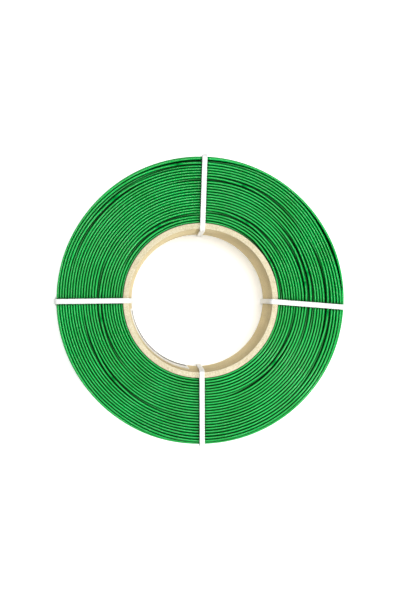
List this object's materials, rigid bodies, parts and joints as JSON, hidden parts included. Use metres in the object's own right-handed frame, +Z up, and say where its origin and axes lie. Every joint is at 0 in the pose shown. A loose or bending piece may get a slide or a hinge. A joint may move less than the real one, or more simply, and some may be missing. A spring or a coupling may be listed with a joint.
{
  "type": "filament refill coil",
  "caption": "Spool-less refill of green printer filament wound in layers on a wide cardboard core, held by cable ties, with a paper label in the bore.",
  "frame": {"origin": "on the coil's axis, at the height of the surface it lies on", "axes": "+Z up along the coil's axis, out of the bore; +X towards the right-hand tie, +Y towards the back tie"},
  "size_m": [0.213, 0.213, 0.0492],
  "materials": {
    "cardboard": "matt kraft board, paler at the cut ends",
    "filament": "glossy extruded green strand",
    "label_paper": "smooth white label paper",
    "nylon": "natural white nylon, satin"
  },
  "bodies": {
    "coil": {"core_tube": "cardboard", "filament_winding": "filament", "core_label": "label_paper"},
    "tie_back": {"tie_back": "nylon"},
    "pawl_back": {"pawl_back": "nylon"},
    "tie_right": {"tie_right": "nylon"},
    "pawl_right": {"pawl_right": "nylon"},
    "tie_front": {"tie_front": "nylon"},
    "pawl_front": {"pawl_front": "nylon"},
    "tie_left": {"tie_left": "nylon"},
    "pawl_left": {"pawl_left": "nylon"}
  },
  "joints": [
    {"name": "tie_back_slide_round", "type": "hinge", "parent": "coil", "child": "tie_back", "pos_m": [0, 0, 0], "axis": [0, 0, 1], "range_deg": [-35, 35]},
    {"name": "tie_right_slide_round", "type": "hinge", "parent": "coil", "child": "tie_right", "pos_m": [0, 0, 0], "axis": [0, 0, 1], "range_deg": [-35, 35]},
    {"name": "tie_front_slide_round", "type": "hinge", "parent": "coil", "child": "tie_front", "pos_m": [0, 0, 0], "axis": [0, 0, 1], "range_deg": [-35, 35]},
    {"name": "tie_left_slide_round", "type": "hinge", "parent": "coil", "child": "tie_left", "pos_m": [0, 0, 0], "axis": [0, 0, 1], "range_deg": [-35, 35]},
    {"name": "pawl_back_flex", "type": "hinge", "parent": "tie_back", "child": "pawl_back", "pos_m": [0.00312, 0.10306, 0.01625], "axis": [-0.9995, 0.0332, 0], "range_deg": [0, 12], "stiffness_Nm_per_rad": 0.002, "springref_deg": -2.86},
    {"name": "pawl_right_flex", "type": "hinge", "parent": "tie_right", "child": "pawl_right", "pos_m": [0.10304, -0.0049, 0.01625], "axis": [0.0785, 0.9969, 0], "range_deg": [0, 12], "stiffness_Nm_per_rad": 0.002, "springref_deg": -2.86},
    {"name": "pawl_front_flex", "type": "hinge", "parent": "tie_front", "child": "pawl_front", "pos_m": [0.00116, -0.10311, 0.01625], "axis": [1, 0.0035, 0], "range_deg": [0, 12], "stiffness_Nm_per_rad": 0.002, "springref_deg": -2.86},
    {"name": "pawl_left_flex", "type": "hinge", "parent": "tie_left", "child": "pawl_left", "pos_m": [-0.10311, -0.00076, 0.01625], "axis": [0.0122, -0.9999, 0], "range_deg": [0, 12], "stiffness_Nm_per_rad": 0.002, "springref_deg": -2.86}
  ]
}
